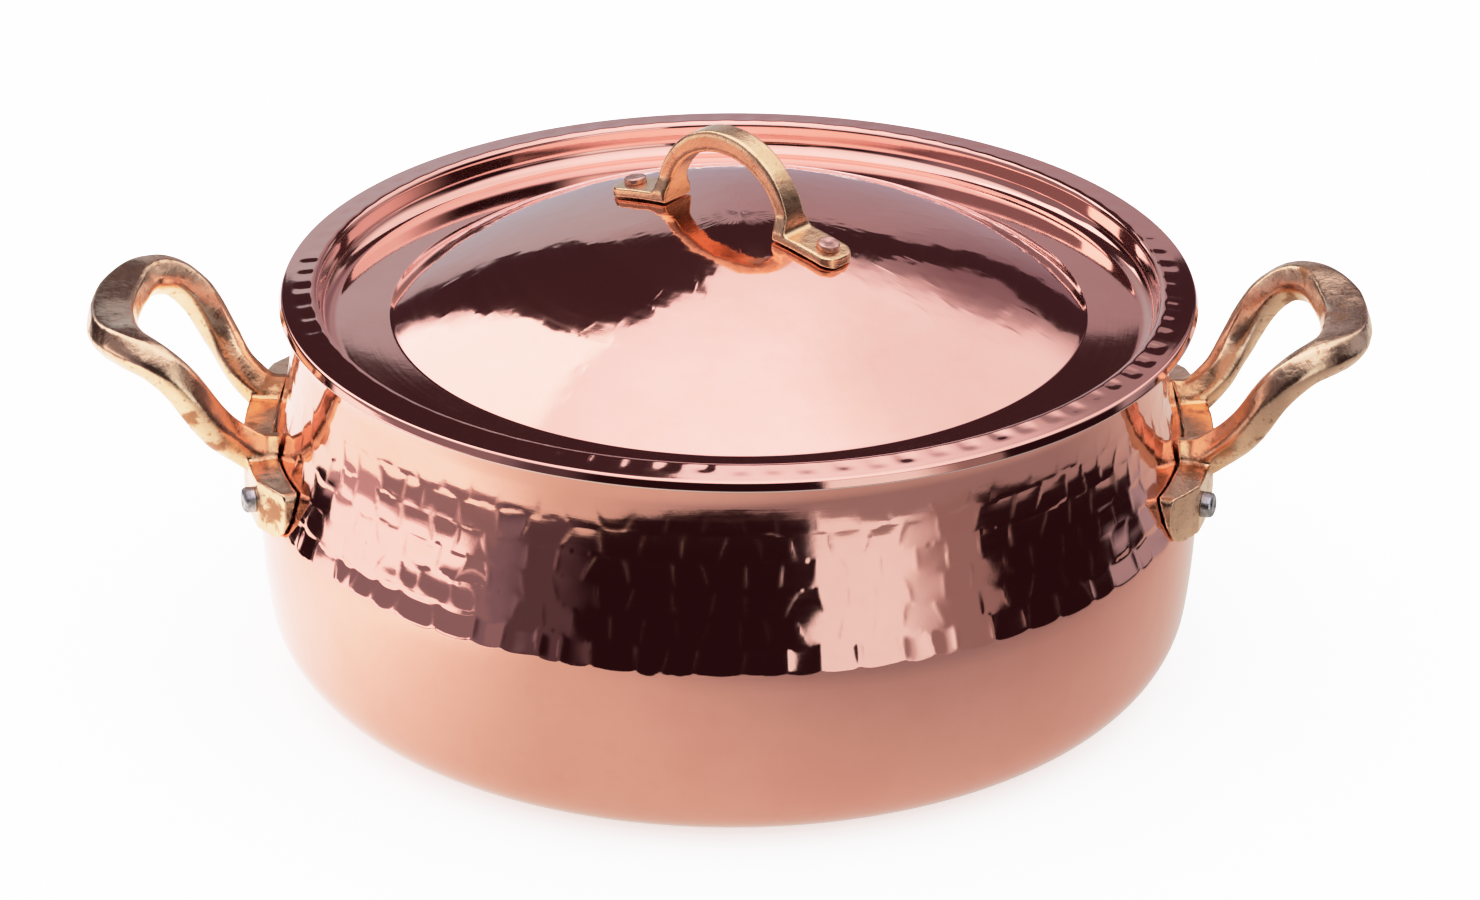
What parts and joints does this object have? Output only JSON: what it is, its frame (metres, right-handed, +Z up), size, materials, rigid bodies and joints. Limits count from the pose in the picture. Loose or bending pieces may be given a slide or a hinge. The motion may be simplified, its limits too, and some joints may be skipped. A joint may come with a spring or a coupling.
{
  "type": "casserole pot with lid",
  "caption": "Bellied copper casserole pot with cast brass loop handles and a domed copper lid with a brass strap handle.",
  "frame": {"origin": "middle of the underside of the flat base", "axes": "+X through the right side handle, +Y towards the back as pictured, +Z up"},
  "size_m": [0.4122, 0.3026, 0.1835],
  "materials": {
    "hammered_copper": "polished, hammered copper",
    "lid_copper": "polished copper",
    "cast_brass": "cast and brushed",
    "strap_brass": "brushed",
    "rivet_steel": "satin",
    "rivet_copper": "satin copper"
  },
  "bodies": {
    "pot": {"pot_body": "hammered_copper", "left_handle": "cast_brass", "right_handle": "cast_brass", "left_handle_front_rivet": "rivet_steel", "left_handle_back_rivet": "rivet_steel", "right_handle_front_rivet": "rivet_steel", "right_handle_back_rivet": "rivet_steel"},
    "lid": {"lid": "lid_copper", "lid_handle": "strap_brass", "lid_handle_left_rivet": "rivet_copper", "lid_handle_right_rivet": "rivet_copper"}
  },
  "joints": [
    {"name": "lid_lift", "type": "slide", "parent": "pot", "child": "lid", "axis": [0, 0, 1], "range_m": [0, 0.15]}
  ]
}
